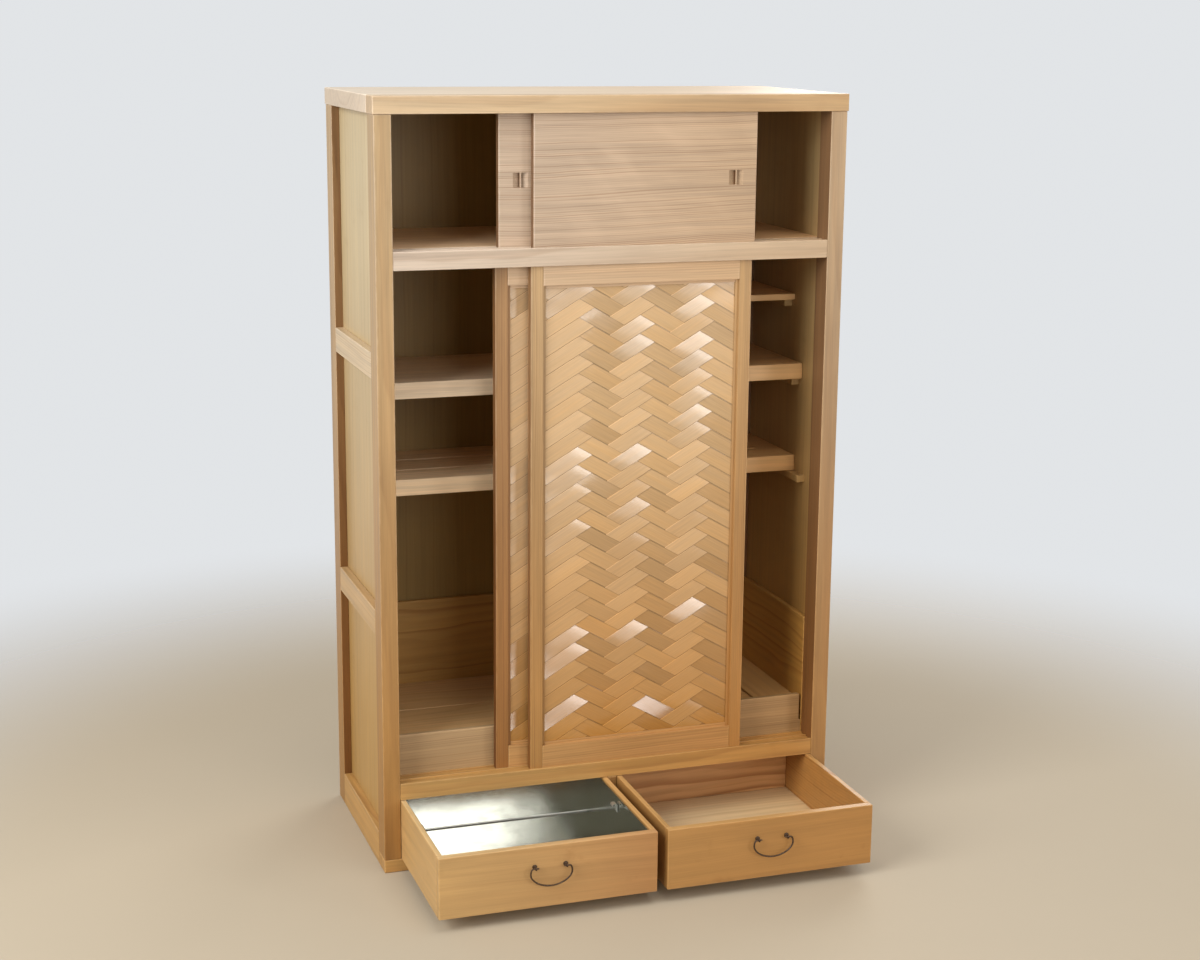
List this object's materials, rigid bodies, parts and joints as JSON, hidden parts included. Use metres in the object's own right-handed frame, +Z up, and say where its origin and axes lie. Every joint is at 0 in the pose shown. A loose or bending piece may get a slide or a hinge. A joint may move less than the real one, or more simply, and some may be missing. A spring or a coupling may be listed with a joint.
{
  "type": "tea ceremony cabinet",
  "caption": "Free-standing wooden tea-preparation cabinet with plain sliding doors above, woven-panel sliding doors below, inner shelves and wire-handled drawers, one with a metal liner.",
  "frame": {"origin": "on the floor, under the middle of the front base rail", "axes": "+Z up, front faces -Y, +X to the right as seen from the front"},
  "size_m": [0.913, 0.7185, 1.45],
  "materials": {
    "pale_cedar": "planed pale cedar, satin, straight grain",
    "warm_cedar": "planed cedar, satin, warmer tone",
    "dark_cedar": "unlit inner boards, matt",
    "woven_cedar": "thin interlaced cedar strips, satin",
    "tinned_sheet": "bright tinned sheet, lightly scratched",
    "dark_iron": "dark browned wire"
  },
  "bodies": {
    "carcass": {"top_front_rail": "pale_cedar", "top_board": "pale_cedar", "base_front_rail": "warm_cedar", "base_board": "dark_cedar", "back_panel": "dark_cedar", "middle_rail": "pale_cedar", "middle_shelf": "dark_cedar", "sill_rail": "pale_cedar", "floor_board": "dark_cedar", "riser_board": "warm_cedar", "shelf_upper": "pale_cedar", "shelf_lower": "pale_cedar", "shelf_corner": "pale_cedar", "drawer_divider": "warm_cedar", "splash_board_back": "warm_cedar", "post_front_left": "pale_cedar", "post_rear_left": "pale_cedar", "side_bottom_rail_left": "warm_cedar", "side_upper_batten_left": "pale_cedar", "side_lower_batten_left": "pale_cedar", "side_panel_left": "pale_cedar", "splash_board_left": "warm_cedar", "post_front_right": "pale_cedar", "post_rear_right": "pale_cedar", "side_bottom_rail_right": "warm_cedar", "side_upper_batten_right": "pale_cedar", "side_lower_batten_right": "pale_cedar", "side_panel_right": "pale_cedar", "splash_board_right": "warm_cedar"},
    "upper_door_left": {"upper_door_left": "pale_cedar"},
    "upper_door_right": {"upper_door_right": "pale_cedar"},
    "lower_door_left": {"lower_door_left_stile_left": "warm_cedar", "lower_door_left_stile_right": "warm_cedar", "lower_door_left_rail_top": "warm_cedar", "lower_door_left_rail_bottom": "warm_cedar", "lower_door_left_woven_panel": "woven_cedar"},
    "lower_door_right": {"lower_door_right_stile_left": "warm_cedar", "lower_door_right_stile_right": "warm_cedar", "lower_door_right_rail_top": "warm_cedar", "lower_door_right_rail_bottom": "warm_cedar", "lower_door_right_woven_panel": "woven_cedar"},
    "drawer_left": {"drawer_left_front": "warm_cedar", "drawer_left_side_left": "warm_cedar", "drawer_left_side_right": "warm_cedar", "drawer_left_back": "warm_cedar", "drawer_left_bottom": "pale_cedar", "drawer_left_eye_left": "dark_iron", "drawer_left_eye_right": "dark_iron", "drawer_left_liner": "tinned_sheet"},
    "drawer_right": {"drawer_right_front": "warm_cedar", "drawer_right_side_left": "warm_cedar", "drawer_right_side_right": "warm_cedar", "drawer_right_back": "warm_cedar", "drawer_right_bottom": "pale_cedar", "drawer_right_eye_left": "dark_iron", "drawer_right_eye_right": "dark_iron"},
    "drawer_left_bail": {"drawer_left_bail": "dark_iron"},
    "drawer_right_bail": {"drawer_right_bail": "dark_iron"},
    "cover_board_left": {"cover_board_left": "warm_cedar"},
    "cover_board_right": {"cover_board_right": "warm_cedar"}
  },
  "joints": [
    {"name": "upper_door_left_slide", "type": "slide", "parent": "carcass", "child": "upper_door_left", "axis": [1, 0, 0], "range_m": [-0.202, 0.2069]},
    {"name": "upper_door_right_slide", "type": "slide", "parent": "carcass", "child": "upper_door_right", "axis": [1, 0, 0], "range_m": [-0.2619, 0.147]},
    {"name": "lower_door_left_slide", "type": "slide", "parent": "carcass", "child": "lower_door_left", "axis": [1, 0, 0], "range_m": [-0.195, 0.2139]},
    {"name": "lower_door_right_slide", "type": "slide", "parent": "carcass", "child": "lower_door_right", "axis": [1, 0, 0], "range_m": [-0.2569, 0.152]},
    {"name": "drawer_left_slide", "type": "slide", "parent": "carcass", "child": "drawer_left", "axis": [0, -1, 0], "range_m": [-0.285, 0.05]},
    {"name": "drawer_right_slide", "type": "slide", "parent": "carcass", "child": "drawer_right", "axis": [0, -1, 0], "range_m": [-0.285, 0.05]},
    {"name": "drawer_left_bail_swing", "type": "hinge", "parent": "drawer_left", "child": "drawer_left_bail", "pos_m": [-0.21575, -0.3193, 0.104], "axis": [-1, 0, 0], "range_deg": [-8, 150]},
    {"name": "drawer_right_bail_swing", "type": "hinge", "parent": "drawer_right", "child": "drawer_right_bail", "pos_m": [0.21575, -0.3193, 0.104], "axis": [-1, 0, 0], "range_deg": [-8, 150]},
    {"name": "cover_board_left_lift", "type": "slide", "parent": "carcass", "child": "cover_board_left", "axis": [0, 0, 1], "range_m": [0, 0.15]},
    {"name": "cover_board_right_lift", "type": "slide", "parent": "carcass", "child": "cover_board_right", "axis": [0, 0, 1], "range_m": [0, 0.15]}
  ]
}
